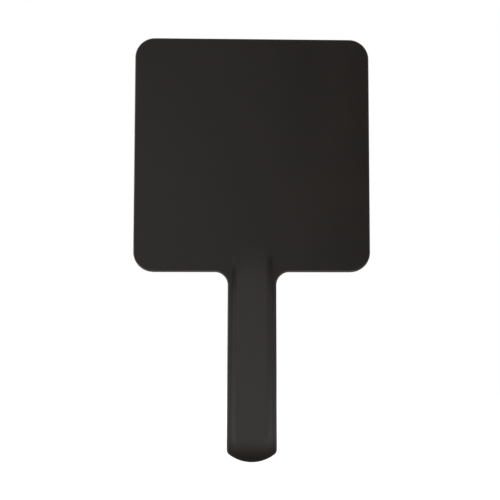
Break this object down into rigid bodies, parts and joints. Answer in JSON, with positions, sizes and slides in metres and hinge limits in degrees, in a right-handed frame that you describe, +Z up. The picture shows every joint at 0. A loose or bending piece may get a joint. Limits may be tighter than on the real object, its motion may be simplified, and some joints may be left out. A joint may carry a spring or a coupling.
{
  "type": "hand mirror",
  "caption": "Square salon hand mirror: black moulded plastic frame with rounded corners, a flat straight handle and a plain back.",
  "frame": {"origin": "middle of the grip: half way along the handle, on its centre line, in the plane where the front frame and the rear cover meet", "axes": "+Z up the handle to the head, +Y out of the mirror's face, so the plain back faces -Y, and +X to the right of someone who looks at the back"},
  "size_m": [0.136, 0.0104, 0.2432],
  "materials": {
    "rear_shell": "satin",
    "front_shell": "satin",
    "mirror": "polished",
    "backing": "matte",
    "foam": "matte"
  },
  "bodies": {
    "root": {"rear_cover": "rear_shell", "front_frame": "front_shell", "mirror_glass": "mirror", "mirror_backing": "backing", "foam_strip_top": "foam", "foam_strip_bottom": "foam", "foam_strip_left": "foam", "foam_strip_right": "foam"}
  },
  "joints": []
}
